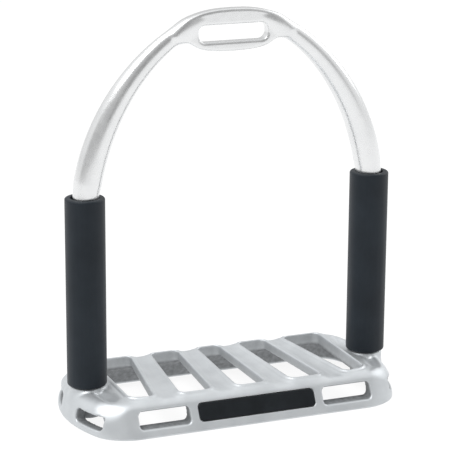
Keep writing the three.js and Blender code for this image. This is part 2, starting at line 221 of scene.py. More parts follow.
def spline(points: list[tuple[float, float]], steps: int) -> Array:
    """A smooth open curve through points: uniform cubic pieces whose slopes join the neighbours.

    Args:
        points: The points in order.
        steps: Pieces between each two points.

    Returns:
        The curve's points, one row each.
    """
    p = np.array(points, float)
    p = np.vstack([2 * p[0] - p[1], p, 2 * p[-1] - p[-2]])
    t = np.linspace(0.0, 1.0, steps, endpoint=False)[:, None]
    pieces = [
        0.5 * (2 * b + (c - a) * t + (2 * a - 5 * b + 4 * c - d) * t**2 + (3 * b - a - 3 * c + d) * t**3)
        for a, b, c, d in zip(p, p[1:], p[2:], p[3:])
    ]
    return np.vstack([*pieces, p[-2:-1]])


# ---- Skins ----


def slope_of(shape: Field, points: Array) -> tuple[Array, Array]:
    """A field's values and its slope at points, the slope by a small step along each axis.

    Args:
        shape: The distance field.
        points: One row for each point.

    Returns:
        The values, and the slope vectors, one row each.
    """
    step = 0.02
    here = shape(*points.T)
    slope = np.empty_like(points)
    for axis in range(3):
        moved = points.copy()
        moved[:, axis] += step
        slope[:, axis] = (shape(*moved.T) - here) / step
    return here, slope


def settle(shape: Field, points: Array, reach: float, rounds: int) -> Array:
    """Points moved onto a field's zero surface along its slope, by no more than reach each round.

    Args:
        shape: The distance field.
        points: Points near the surface.
        reach: Largest move in one round.
        rounds: How many rounds.

    Returns:
        The moved points.
    """
    for _ in range(rounds):
        here, slope = slope_of(shape, points)
        move = slope * (here / np.maximum((slope**2).sum(1), 0.2))[:, None]
        length = np.linalg.norm(move, axis=1, keepdims=True)
        points = points - move * np.minimum(1.0, reach / np.maximum(length, 1e-9))
    return points


def relax(points: Array, quads: Array, normals: Array) -> Array:
    """Points slid half way to the middle of their neighbours, along the surface only.

    Args:
        points: The net's points.
        quads: The net's faces.
        normals: Unit normals at the points.

    Returns:
        The moved points.
    """
    ends = np.vstack([quads[:, [i, (i + 1) % 4]] for i in range(4)])
    count = np.bincount(ends[:, 0], minlength=len(points))
    total = np.stack(
        [np.bincount(ends[:, 0], points[ends[:, 1], axis], len(points)) for axis in range(3)], axis=1
    )
    move = total / np.maximum(count, 1)[:, None] - points
    move -= normals * (move * normals).sum(1)[:, None]
    return points + 0.5 * move


def net_over(shape: Field, low: Array, high: Array, step: float) -> tuple[Array, Array]:
    """The net of quads over a field's zero surface.

    The field is sampled on a grid of cubes. Each cube that the surface crosses holds one point, at the
    mean of its edge crossings, and each crossed grid edge joins the four cubes round it in a quad.

    Args:
        shape: The distance field.
        low: Lowest corner of the grid.
        high: Highest corner of the grid.
        step: Side of the cubes.

    Returns:
        The points, and the quads as rows of point numbers, wound outwards.
    """
    x, y, z = (np.arange(a, b + step, step) for a, b in zip(low, high))
    size = (len(x), len(y), len(z))
    values = np.array(np.broadcast_to(shape(x[:, None, None], y[:, None], z), size))
    inside = values < 0
    count = sum(
        inside[i : size[0] - 1 + i, j : size[1] - 1 + j, k : size[2] - 1 + k].astype(np.int8)
        for i in (0, 1)
        for j in (0, 1)
        for k in (0, 1)
    )
    active = (count > 0) & (count < 8)
    cells = np.argwhere(active)
    number = np.full(active.shape, -1)
    number[active] = np.arange(len(cells))

    total = np.zeros((len(cells), 3))
    hits = np.zeros(len(cells))
    for axis in range(3):
        along = np.eye(3, dtype=int)[axis]
        for i, j in ((0, 0), (0, 1), (1, 0), (1, 1)):
            start = cells + np.insert([i, j], axis, 0)
            before = values[tuple(start.T)]
            after = values[tuple((start + along).T)]
            crossed = (before < 0) != (after < 0)
            share = before[crossed] / (before[crossed] - after[crossed])
            total[crossed] += start[crossed] + share[:, None] * along
            hits[crossed] += 1
    points = np.array([x[0], y[0], z[0]]) + step * total / hits[:, None]

    quads = []
    for axis in range(3):
        turned = np.moveaxis(inside, [axis, (axis + 1) % 3, (axis + 2) % 3], [0, 1, 2])
        cube = np.moveaxis(number, [axis, (axis + 1) % 3, (axis + 2) % 3], [0, 1, 2])
        here, there = turned[:-1, 1:-1, 1:-1], turned[1:, 1:-1, 1:-1]
        a, u, v = np.nonzero(here != there)
        ring = [cube[a, u, v], cube[a, u + 1, v], cube[a, u + 1, v + 1], cube[a, u, v + 1]]
        quad = np.stack(ring, axis=1)
        inward = ~here[a, u, v]
        quad[inward] = quad[inward][:, ::-1]
        quads.append(quad)
    return points, np.vstack(quads)


def smooth_skin(shape: Field, low: Array, high: Array, step: float) -> tuple[Array, Array]:
    """The net over a field's zero surface, evened out and settled onto it.

    Args:
        shape: The distance field.
        low: Lowest corner of the grid.
        high: Highest corner of the grid.
        step: Side of the grid's cubes.

    Returns:
        The points and the quads.
    """
    points, quads = net_over(shape, low, high, step)
    points = settle(shape, points, 0.5 * step, 2)
    for _ in range(3):
        slope = slope_of(shape, points)[1]
        normals = slope / np.maximum(np.linalg.norm(slope, axis=1, keepdims=True), 1e-9)
        points = settle(shape, relax(points, quads, normals), 0.5 * step, 1)
    return settle(shape, points, 0.25 * step, 2), quads


def make_piece(name: str, points: Array, quads: Array, material: bpy.types.Material) -> bpy.types.Object:
    """A mesh object at the origin, with its place in its points, shaded smooth.

    Args:
        name: The piece's name.
        points: Points in millimetres.
        quads: Faces as rows of four point numbers.
        material: Its finish.

    Returns:
        The new object.
    """
    mesh = bpy.data.meshes.new(name)
    mesh.vertices.add(len(points))
    mesh.vertices.foreach_set("co", (points * MM).astype(np.float32).ravel())
    mesh.loops.add(quads.size)
    mesh.loops.foreach_set("vertex_index", quads.astype(np.int32).ravel())
    mesh.polygons.add(len(quads))
    mesh.polygons.foreach_set("loop_start", np.arange(0, quads.size, quads.shape[1], dtype=np.int32))
    mesh.polygons.foreach_set("use_smooth", np.ones(len(quads), bool))
    mesh.update(calc_edges=True)
    mesh.validate()
    mesh.materials.append(material)
    piece = bpy.data.objects.new(name, mesh)
    bpy.context.scene.collection.objects.link(piece)
    return piece


def store(piece: bpy.types.Object, name: str, values: Array) -> None:
    """Keeps one number or one vector for each point of a piece, for its material to read.

    Args:
        piece: The piece.
        name: The attribute's name.
        values: One value for each point, or one row of three.
    """
    kind, key = ("FLOAT_VECTOR", "vector") if values.ndim == 2 else ("FLOAT", "value")
    attribute = piece.data.attributes.new(name, kind, "POINT")
    attribute.data.foreach_set(key, values.astype(np.float32).ravel())


# ---- Finishes ----


class NodeTree:
    """A material's or a world's nodes, with short ways to add and join them."""

    def __init__(self, owner: bpy.types.Material | bpy.types.World) -> None:
        """Turns the owner's nodes on and takes hold of them."""
        owner.use_nodes = True
        self.nodes = owner.node_tree.nodes
        self.links = owner.node_tree.links

    def feed(self, socket: Socket, value: object) -> None:
        """Joins a socket to another one, or sets it to a plain value."""
        if isinstance(value, bpy.types.NodeSocket):
            self.links.new(value, socket)
        else:
            socket.default_value = value

    def add(
        self, kind: str, inputs: dict[str | int, object] | None = None, **settings: object
    ) -> bpy.types.Node:
        """Adds one node.

        Args:
            kind: Its type, without the ShaderNode prefix.
            inputs: Input names or numbers, each with a value or an output socket to join.
            settings: The node's own settings.

        Returns:
            The new node.
        """
        node = self.nodes.new("ShaderNode" + kind)
        for key, value in settings.items():
            setattr(node, key, value)
        for key, value in (inputs or {}).items():
            self.feed(node.inputs[key], value)
        return node

    def math(self, operation: str, a: object, b: object = 0.0) -> Socket:
        """The result of one operation on two numbers or sockets."""
        return self.add("Math", {0: a, 1: b}, operation=operation).outputs[0]

    def part_along(self, direction: Socket, axis: Place) -> Socket:
        """How far a direction points along an axis: their dot product."""
        node = self.add("VectorMath", {0: direction, 1: axis}, operation="DOT_PRODUCT")
        return node.outputs["Value"]

    def smooth_step(self, value: Socket, start: float, end: float, low: float, high: float) -> Socket:
        """A smooth step from low, where value is start, to high, where it is end."""
        inputs = {"Value": value, "From Min": start, "From Max": end, "To Min": low, "To Max": high}
        return self.add("MapRange", inputs, interpolation_type="SMOOTHSTEP").outputs["Result"]


class Graph(NodeTree):
    """A new material round one Principled shader."""

    def __init__(self, name: str) -> None:
        """Starts the material of that name."""
        self.material = bpy.data.materials.new(name)
        super().__init__(self.material)
        self.shader = self.nodes["Principled BSDF"]

    def place(self, attribute: str = "") -> Socket:
        """The pattern's coordinates: the named attribute, or the object's own."""
        if attribute:
            return self.add("Attribute", attribute_name=attribute).outputs["Vector"]
        return self.add("TexCoord").outputs["Object"]

    def stretched(self, place: Socket, scale: Place) -> Socket:
        """Coordinates scaled by a different amount along each axis."""
        return self.add("Mapping", {"Vector": place, "Scale": scale}).outputs["Vector"]

    def grain(self, place: Socket, scale: float, detail: float = 3.0) -> Socket:
        """Fractal noise from 0 to 1, with that many cells to the metre."""
        return self.add("TexNoise", {"Vector": place, "Scale": scale, "Detail": detail}).outputs["Fac"]

    def spread(self, value: Socket, low: float, high: float) -> Socket:
        """Noise carried from the middle of its range to the range from low to high."""
        inputs = {"Value": value, "From Min": 0.3, "From Max": 0.7, "To Min": low, "To Max": high}
        return self.add("MapRange", inputs).outputs["Result"]

    def mixed(self, share: Socket, a: Colour | Socket, b: Colour | Socket) -> Socket:
        """Colour a where share is 0, running to colour b where it is 1."""
        node = self.add("Mix", {"Factor": share}, data_type="RGBA")
        for socket, colour in zip(node.inputs[6:8], (a, b)):
            self.feed(socket, (*colour, 1.0) if isinstance(colour, tuple) else colour)
        return node.outputs[2]

    def bump(
        self, height: Socket, strength: object, distance: float, under: Socket | None = None
    ) -> Socket:
        """Normals turned by a height pattern, on top of the pattern under it if there is one."""
        inputs = {"Height": height, "Strength": strength, "Distance": distance}
        if under is not None:
            inputs["Normal"] = under
        return self.add("Bump", inputs).outputs["Normal"]

    def wire(self, **inputs: object) -> None:
        """Feeds the shader's inputs; an underscore in a name stands for a space."""
        for key, value in inputs.items():
            self.feed(self.shader.inputs[key.replace("_", " ")], value)


@dataclass(frozen=True)
class CastAlloy:
    """Tumbled aluminium: satin outside; as cast and rougher in the cavity and the gaps, which also get
    painted shade.
    """

    light: Colour = (0.645, 0.671, 0.69)
    dull: Colour = (0.57, 0.595, 0.615)
    # The two darker colours below are painted shade: they stand in for the shade that falls in the
    # cavity, the gaps and the window reveals.
    raw_light: Colour = (0.295, 0.307, 0.317)
    raw_dark: Colour = (0.185, 0.193, 0.2)
    raw_attribute: str = "raw_and_shade"

    def material(self) -> bpy.types.Material:
        """Builds the finish.

        Returns:
            The material, which reads from an attribute how far the casting is left as cast and darkened
            with painted shade.
        """
        g = Graph("satin_cast_alloy")
        place = g.place()
        raw_and_shade = g.add("Attribute", attribute_name=self.raw_attribute).outputs["Fac"]
        cloud = g.grain(place, 90.0)
        fine = g.grain(place, 1900.0)
        pits = g.grain(place, 520.0, 4.0)
        tone = g.mixed(g.spread(cloud, 0.0, 1.0), self.light, self.dull)
        # Painted shade: the two darker colours, mottled by the pits pattern.
        raw_shade_blotch = g.mixed(g.spread(pits, 0.0, 1.0), self.raw_dark, self.raw_light)
        rough = g.math("ADD", g.spread(fine, 0.46, 0.54), g.math("MULTIPLY", raw_and_shade, 0.2))
        skin = g.bump(fine, 0.12, 0.00005)
        cast = g.bump(pits, g.math("MULTIPLY", raw_and_shade, 0.4), 0.0004, skin)
        metal = g.math("SUBTRACT", 0.8, g.math("MULTIPLY", raw_and_shade, 0.3))
        # The attribute carries the colour from the satin tone to the painted shade; the extra roughness,
        # pitting and lower metallic it brings are the real as-cast surface.
        g.wire(Base_Color=g.mixed(raw_and_shade, tone, raw_shade_blotch), Metallic=metal, Roughness=rough, Normal=cast)
        return g.material


@dataclass(frozen=True)
class PolishedSteel:
    """Bright stainless steel with the faint lines of a last hand polish."""

    colour: Colour = (0.815, 0.822, 0.826)
    shade: Colour = (0.765, 0.774, 0.78)

    def material(self) -> bpy.types.Material:
        """Builds the finish.

        Returns:
            The material.
        """
        g = Graph("polished_steel")
        place = g.place()
        cloud = g.grain(place, 60.0, 4.0)
        lines = g.grain(g.stretched(place, (1.0, 0.35, 1.0)), 1400.0)
        rough = g.spread(g.grain(place, 300.0), 0.22, 0.30)
        g.wire(
            Base_Color=g.mixed(g.spread(cloud, 0.0, 1.0), self.colour, self.shade),
            Metallic=1.0,
            Roughness=rough,
            Normal=g.bump(lines, 0.05, 0.00004),
        )
        return g.material


@dataclass(frozen=True)
class SleeveRubber:
    """Matt blue-black rubber with faint lines along the tube and a dusty bloom."""

    dark: Colour = (0.0078, 0.0125, 0.018)
    bloom: Colour = (0.013, 0.0195, 0.027)
    place_attribute: str = "rest_place"

    def material(self) -> bpy.types.Material:
        """Builds the finish.

        Returns:
            The material, whose patterns follow each point's stored rest place.
        """
        g = Graph("sleeve_rubber")
        place = g.place(self.place_attribute)
        cloud = g.grain(place, 70.0, 4.0)
        drawn = g.grain(g.stretched(place, (1.0, 1.0, 0.04)), 900.0)
        fine = g.grain(place, 2400.0)
        g.wire(
            Base_Color=g.mixed(g.spread(cloud, 0.0, 1.0), self.dark, self.bloom),
            Roughness=g.spread(drawn, 0.5, 0.6),
            Normal=g.bump(drawn, 0.12, 0.00005, g.bump(fine, 0.15, 0.00005)),
            Specular_IOR_Level=0.24,
            Sheen_Weight=0.07,
            Sheen_Roughness=0.5,
        )
        return g.material


@dataclass(frozen=True)
class PlateBlack:
    """Matt black anodised sheet with a fine even tooth."""

    colour: Colour = (0.007, 0.009, 0.011)
    worn: Colour = (0.012, 0.015, 0.018)

    def material(self) -> bpy.types.Material:
        """Builds the finish.

        Returns:
            The material.
        """
        g = Graph("matt_black_plate")
        place = g.place()
        g.wire(
            Base_Color=g.mixed(g.spread(g.grain(place, 160.0), 0.0, 1.0), self.colour, self.worn),
            Roughness=g.spread(g.grain(place, 700.0), 0.42, 0.55),
            Normal=g.bump(g.grain(place, 2600.0), 0.2, 0.00005),
            Specular_IOR_Level=0.18,
        )
        return g.material


@dataclass(frozen=True)
class MachinedSteel:
    """Turned steel with fine tool lines round the arm and a film of oil."""

    colour: Colour = (0.56, 0.57, 0.58)
    oiled: Colour = (0.40, 0.41, 0.42)

    def material(self) -> bpy.types.Material:
        """Builds the finish.

        Returns:
            The material.
        """
        g = Graph("machined_steel")
        place = g.place()
        lines = g.grain(g.stretched(place, (0.2, 0.2, 1.0)), 4200.0, 2.0)
        g.wire(
            Base_Color=g.mixed(g.spread(g.grain(place, 180.0), 0.0, 1.0), self.colour, self.oiled),
            Metallic=1.0,
            Roughness=g.spread(lines, 0.26, 0.42),
            Normal=g.bump(lines, 0.2, 0.00004),
        )
        return g.material


# ---- Tread ----


@dataclass
class Tread:
    """The cast tread: a box open below, with slanted bars, lips, windows, necks and scoops.

    Lengths are in millimetres. The shoulder's radius runs from its first value to its second one.
    """

    half_width: float = 78.2
    half_depth: float = 37.5
    end_arc: float = 64.6
    end_shift: float = -1.65
    corner: float = 9.0
    deck: float = 14.6
    lip: float = 1.0
    lip_steps: tuple[Place, Place] = ((0.6, 1.0, 2.1), (0.4, 1.0, 4.5))
    trough: float = 0.4
    shoulder: tuple[float, float] = (2.6, 8.2)
    front_slope: float = 0.54
    back_slope: float = 0.44
    end_slope: float = 0.09
    wall: float = 5.0
    cavity_top: float = 9.4
    cavity_front: float = -28.3
    bar_underside: float = 11.0
    gap_front: float = -26.0
    gap_back: float = 28.2
    relief_half: float = 57.0
    arm_x: float = ARM_X
    neck: float = 7.9
    neck_waist: float = 1.3
    neck_top: float = 15.1
    plate_mid: float = 7.6
    plate_pocket: tuple[float, float] = (28.05, 4.25)
    front_window_at: tuple[float, float] = (44.1, 7.1)
    front_window_half: tuple[float, float] = (12.0, 3.6)
    end_window_z: float = 6.0
    end_window_half_z: float = 3.0
    scoop_at: Place = (65.6, 14.5, 15.4)
    scoop_axes: Place = (2.7, 9.0, 3.4)
    scoop_turn: float = 0.18
    step: float = 0.58
    finish: CastAlloy = field(default_factory=CastAlloy)

    def side(self, x: Array, y: Array, z: Array) -> Array:
        """Distance to the four walls: leaning long walls, bowed ends and round corners.

        Args:
            x: X of the points.
            y: Their Y.
            z: Their Z.

        Returns:
            Distance outside the walls.
        """
        slope = np.where(y < 0, self.front_slope, self.back_slope)
        long_wall = (np.abs(y) - self.half_depth + slope * z) / np.sqrt(1.0 + slope * slope)
        centre = self.half_width - self.end_slope * z - self.end_arc
        end_wall = np.hypot(np.maximum(np.abs(x - self.end_shift) - centre, 0.0), y) - self.end_arc
        return meet(long_wall, end_wall, self.corner)

    def gaps(self, x: Array, y: Array) -> Array:
        """Distance in plan to the nearest of the five openings between the bars.

        Args:
            x: X of the points.
            y: Their Y.

        Returns:
            Distance outside the openings.
        """
        front, back = self.gap_front, self.gap_back
        across = np.abs(x)
        middle = [(-6.9, front), (6.9, front), (5.4, back), (-5.4, back)]
        inner = [(19.2, front), (34.2, front), (28.6, back), (15.4, back)]
        outer = [(46.8, front), (57.0, front + 2.2), (57.0, back), (38.6, back)]
        least = rounded_quad(x, y, middle, 3.0)
        for corners in (inner, outer):
            least = np.minimum(least, rounded_quad(across, y, corners, 3.0))
        return least

    def outside(self, x: Array, y: Array, z: Array) -> Array:
        """Distance to the tread as if it were solid: walls, crowned lips and rounded shoulders.

        Each lip falls away from its gap in two steps, each a share of its height.

        Args:
            x: X of the points.
            y: Their Y.
            z: Their Z.

        Returns:
            Distance outside it.
        """
        gap = self.gaps(x, y)
        bead = sum(share * (1.0 - ramp(gap, start, end)) for share, start, end in self.lip_steps)
        height = self.deck + self.lip * bead - self.trough * ramp(gap, 2.5, 5.5)
        middle, end = self.shoulder
        shoulder = middle + (end - middle) * ramp(np.abs(x), 58.0, 71.0)
        return meet(meet(self.side(x, y, z), z - height, shoulder), -z, 0.8)

    def cavity(self, x: Array, y: Array, z: Array) -> Array:
        """Distance to the hollow below: the walls moved in, with a shallow step up under the bars.

        Args:
            x: X of the points.
            y: Their Y.
            z: Their Z.

        Returns:
            Distance outside the hollow.
        """
        wall = self.wall - 1.6 * ramp(y, -4.0, 12.0)
        hollow = meet(self.side(x, y, z) + wall, z - self.cavity_top, 1.6)
        hollow = meet(hollow, self.cavity_front - y, 1.2)
        middle_y = (self.gap_front + self.gap_back) / 2
        half_y = (self.gap_back - self.gap_front) / 2
        relief = rounded_box(x, y - middle_y, self.relief_half, half_y, 3.0)
        relief = meet(np.maximum(relief, 4.0 - z), z - self.bar_underside, 0.8)
        return join(hollow, relief, 0.5)

    def windows(self, x: Array, y: Array, z: Array) -> Array:
        """Distance to the windows in the front wall and, measured round the arc, in the ends.

        Args:
            x: X of the points.
            y: Their Y.
            z: Their Z.

        Returns:
            Distance outside the nearest window.
        """
        mid_x, mid_z = self.front_window_at
        front = rounded_box(np.abs(x) - mid_x, z - mid_z, *self.front_window_half, 1.8)
        front = np.maximum(front, y + 22.0)
        centre = self.half_width - 0.5 - self.end_arc
        along = np.maximum(np.abs(x - self.end_shift) - centre, 1.0)
        round_arc = self.end_arc * np.arctan2(np.abs(y), along)
        middle, half = np.where(y < 0, 20.8, 18.4), np.where(y < 0, 9.6, 12.0)
        end = rounded_box(round_arc - middle, z - self.end_window_z, half, self.end_window_half_z, 2.2)
        end = np.maximum(end, 62.0 - np.abs(x))
        return np.minimum(front, end)

    def hollows(self, x: Array, y: Array, z: Array) -> Array:
        """Distance to the long scoops in the deck in front of and behind each neck.

        Args:
            x: X of the points.
            y: Their Y.
            z: Their Z.

        Returns:
            Distance outside the nearest scoop.
        """
        u, v = np.abs(x) - self.scoop_at[0], np.abs(y) - self.scoop_at[1]
        c, s = math.cos(self.scoop_turn), math.sin(self.scoop_turn)
        along = v * c - u * s
        across = u * c + v * s
        return egg(across, along, z - self.scoop_at[2], self.scoop_axes)

    def pocket(self, x: Array, y: Array, z: Array) -> Array:
        """Distance to the shallow pocket for the plate, square to the leaning front wall.

        Args:
            x: X of the points.
            y: Their Y.
            z: Their Z.

        Returns:
            Distance outside the pocket.
        """
        lean = math.hypot(1.0, self.front_slope)
        dy = y - (self.front_slope * self.plate_mid - self.half_depth)
        dz = z - self.plate_mid
        up = (self.front_slope * dy + dz) / lean
        out = (self.front_slope * dz - dy) / lean
        return np.maximum(rounded_box(x, up, *self.plate_pocket, 2.0), -1.0 - out)

    def solid(self, x: Array, y: Array, z: Array) -> Array:
        """Distance to the finished casting.

        Args:
            x: X of the points.
            y: Their Y.
            z: Their Z.

        Returns:
            Distance outside it.
        """
        from_arm = np.hypot(np.abs(x) - self.arm_x, y)
        body = cut(self.outside(x, y, z), self.gaps(x, y), 0.6)
        body = -melt(-body, self.hollows(x, y, z), 2.4)
        body = cut(body, self.cavity(x, y, z), 0.6)
        body = cut(body, self.windows(x, y, z), 0.35)
        neck = from_arm - self.neck + self.neck_waist * (1.0 - ramp(z, 6.8, 9.6))
        neck = meet(meet(neck, z - self.neck_top, 0.6), 1.0 - z, 0.6)
        body = join(body, neck, 2.0)
        square = np.maximum(np.maximum(np.abs(np.abs(x) - self.arm_x), np.abs(y)) - 3.8, 9.0 - z)
        recess = np.minimum(from_arm - 2.5, np.maximum(from_arm - 5.0, z - 6.0))
        body = cut(body, np.minimum(square, recess), 0.3)
        return cut(body, self.pocket(x, y, z), 0.3)

    def build(self) -> bpy.types.Object:
        """Makes the casting and stands it in for its CAD node.

        Returns:
            The piece.
        """
        reach = np.array([self.half_width - self.end_shift + 1.0, self.half_depth + 1.0])
        low = np.array([*-reach, -1.0])
        high = np.array([*reach, self.deck + self.lip + 1.0])
        points, quads = smooth_skin(self.solid, low, high, self.step)
        points[:, 2] = np.clip(points[:, 2], 0.0, self.deck + self.lip)
        piece = make_piece("tread_casting", points, quads, self.finish.material())
        # Painted shade mask: 0 on the outer skin, rising to 1 at 1.5 mm inside the outer envelope (gap
        # walls, cavity, window reveals), kept off the neck scoops, and cut to 38% above 9.6 to 11.4 mm,
        # so it is darker towards the bottom.
        raw_and_shade = ramp(-self.outside(*points.T), 0.35, 1.5) * ramp(self.hollows(*points.T), 0.4, 1.4)
        store(piece, self.finish.raw_attribute, raw_and_shade * (1.0 - 0.62 * ramp(points[:, 2], 9.6, 11.4)))
        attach(piece, "tread")
        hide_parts("tread")
        return piece


@dataclass
class FrontPlate:
    """The blank black plate in the front wall: a rounded rectangle with a softly rounded edge."""

    half_length: float = 27.75
    half_height: float = 3.95
    radius: float = 1.8
    thickness: float = 1.0
    proud: float = 0.3
    edge: float = 0.35
    finish: PlateBlack = field(default_factory=PlateBlack)

    def ring(self, inset: float, steps: int = 8) -> Array:
        """The plate's outline moved in: four quarter circles joined by the straight sides.

        Args:
            inset: How far it is moved in.
            steps: Points in each quarter circle.

        Returns:
            Points in the plate's plane, one row each.
        """
        radius = max(self.radius - inset, 0.15)
        turn = np.linspace(0.0, math.pi / 2, steps)
        quarter = np.stack([np.cos(turn), np.sin(turn)], axis=1) * radius
        rows = []
        for k, (su, sv) in enumerate(((1, 1), (-1, 1), (-1, -1), (1, -1))):
            c, s = round(math.cos(k * math.pi / 2)), round(math.sin(k * math.pi / 2))
            turned = quarter @ np.array([[c, s], [-s, c]])
            middle = (self.half_length - inset - radius, self.half_height - inset - radius)
            rows.append(turned + np.array([su * middle[0], sv * middle[1]]))
        return np.vstack(rows)

    def build(self, tread: Tread) -> bpy.types.Object:
        """Makes the plate and stands it in for its CAD node.

        The skin runs from the back over the rounded edge to the middle of the front, as rings of the
        outline moved in, each at its own height off the wall.

        Args:
            tread: The casting that it sits in.

        Returns:
            The piece.
        """
        back = self.proud - self.thickness
        middle = self.half_height - 0.16
        turn = np.linspace(0.0, math.pi / 2, 6)
        profile = [(middle, back), (0.2, back), (0.0, back + 0.2)]
        profile += [
            (self.edge * (1 - math.cos(t)), self.proud - self.edge * (1 - math.sin(t))) for t in turn
        ]
        profile += [(share * middle, self.proud) for share in (0.3, 0.6, 1.0)]
        rings = [np.insert(self.ring(inset), 2, out, axis=1) for inset, out in profile]
        local = np.vstack(rings)
        count = len(rings[0])
        grid = np.arange(len(local)).reshape(len(rings), count)
        after = np.roll(grid, -1, axis=1)
        quads = np.stack([grid[:-1], after[:-1], after[1:], grid[1:]], axis=2).reshape(-1, 4)
        near, far = grid[[0, -1], : count // 2], grid[[0, -1], : count // 2 - 1 : -1]
        caps = np.stack([near[:, :-1], near[:, 1:], far[:, 1:], far[:, :-1]], axis=2)
        quads = np.vstack([quads, caps[0, :, ::-1], caps[1]])
        lean = math.hypot(1.0, tread.front_slope)
        up = np.array([0.0, tread.front_slope, 1.0]) / lean
        out = np.array([0.0, -1.0, tread.front_slope]) / lean
        base = np.array([0.0, tread.front_slope * tread.plate_mid - tread.half_depth, tread.plate_mid])
        points = base + local[:, :1] * [1.0, 0.0, 0.0] + local[:, 1:2] * up + local[:, 2:] * out
        piece = make_piece("blank_front_plate", points, quads, self.finish.material())
        piece.data.set_sharp_from_angle(angle=math.radians(40))
        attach(piece, "tread")
        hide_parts("front_plate")
        return piece


# ---- Bow ----


@dataclass
class Bow:
    """The bow: two legs that sweep up in a superellipse and run into a flat eye for the leather."""

    arm_x: float = ARM_X
    leg: float = 5.9
    arch_start: float = 93.8
    arch_height: float = 85.2
    power: float = 1.827
    crown_turn: float = 1.38
    upper_pin: float = 84.0
    eye_half: float = 2.75
    slot_half: float = 16.4
    slot_low: float = 166.9
    slot_high: float = 174.5
    top: float = 181.5
    step: float = 0.52
    finish: PolishedSteel = field(default_factory=PolishedSteel)
    outline: Array = field(init=False)

    def __post_init__(self) -> None:
        """Works out the eye's outline: a crown over a notched, thinner sill, the same on both sides."""
        sill = [(0.0, 162.5), (8.0, 162.8), (14.5, 163.8), (18.0, 165.3)]
        sill += [(20.8, 166.9), (24.5, 167.8), (27.5, 169.3)]
        crown = [(28.6, 170.9), (24.4, 175.4), (20.0, 178.3)]
        crown += [(15.0, 180.1), (8.0, 181.2), (0.0, self.top)]
        right = np.vstack([spline(sill, 4), spline(crown, 4)])
        left = right[1:-1][::-1] * [-1.0, 1.0]
        self.outline = np.vstack([right, left])

    def bar(self, x: Array, y: Array, z: Array) -> Array:
        """Distance to one arm of the bow, an oval section about the middle line.

        Above the arch's start the middle line is where r = ((x/a)^n + (z/b)^n)^(1/n) is 1, and the
        distance across it is (r - 1) over the slope of r. The oval's two half sizes change with the
        turn t = atan((z/b)^(n/2) / (x/a)^(n/2)) towards the crown.

        Args:
            x: X of the points, from 0 up.
            y: Their Y.
            z: Their Z.

        Returns:
            Distance outside the arm.
        """
        n = self.power
        ax = np.maximum(x, 1e-3) / self.arm_x
        az = np.maximum(z - self.arch_start, 1e-3) / self.arch_height
        total = ax**n + az**n
        r = total ** (1.0 / n)
        slope = total ** (1.0 / n - 1.0) * np.hypot(
            ax ** (n - 1.0) / self.arm_x, az ** (n - 1.0) / self.arch_height
        )
        across = np.where(z > self.arch_start, (r - 1.0) / slope, x - self.arm_x)
        u = np.arctan2(az ** (n / 2), ax ** (n / 2)) / self.crown_turn
        sinking = ramp(u, 0.86, 1.0)
        half_width = self.leg + 0.4 * ramp(u, 0.09, 0.15) - 2.5 * ramp(u, 0.15, 0.95) - 1.5 * sinking
        half_depth = self.leg + 0.2 * ramp(u, 0.09, 0.15) - 3.1 * ramp(u, 0.2, 0.95) - 0.7 * sinking
        k = np.hypot(across / half_width, y / half_depth) + 1e-6
        fall = np.hypot(across / half_width**2, y / half_depth**2) + 1e-6
        return np.maximum(k * (k - 1.0) / fall, 11.0 - x)

    def eye(self, x: Array, y: Array, z: Array) -> Array:
        """Distance to the flat eye, with its edges rounded.

        Args:
            x: X of the points.
            y: Their Y.
            z: Their Z.

        Returns:
            Distance outside the eye.
        """
        return meet(outline_distance(x, z, self.outline), np.abs(y) - self.eye_half, 1.2)

    def solid(self, x: Array, y: Array, z: Array) -> Array:
        """Distance to the whole bow.

        Args:
            x: X of the points.
            y: Their Y.
            z: Their Z.

        Returns:
            Distance outside it.
        """
        across = np.abs(x)
        slot_mid = (self.slot_low + self.slot_high) / 2
        slot_tall = (self.slot_high - self.slot_low) / 2
        reach = 3.2 - 2.9 * (1.0 - ramp(across, 10.0, 24.0))
        body = melt(self.bar(across, y, z), self.eye(x, y, z), reach)
        body = cut(body, rounded_box(x, z - slot_mid, self.slot_half, slot_tall, 3.3), 1.1)
        from_pin = np.hypot(across - self.arm_x, z - self.upper_pin)
        body = meet(body, np.minimum(from_pin - 5.3, self.upper_pin - z), 0.3)
        fork = np.maximum(np.abs(y) - 2.3, z - self.upper_pin - 5.8)
        return cut(body, np.minimum(fork, from_pin - 2.3), 0.2)

    def build(self) -> bpy.types.Object:
        """Makes the bow and stands it in for its CAD node.

        Returns:
            The piece.
        """
        low = np.array([-self.arm_x - 8.0, -8.0, self.upper_pin - 7.0])
        high = np.array([self.arm_x + 8.0, 8.0, self.top + 1.0])
        points, quads = smooth_skin(self.solid, low, high, self.step)
        points[:, 2] = np.minimum(points[:, 2], self.top)
        piece = make_piece("polished_bow", points, quads, self.finish.material())
        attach(piece, "bow")
        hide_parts("bow")
        return piece


# ---- Arms ----


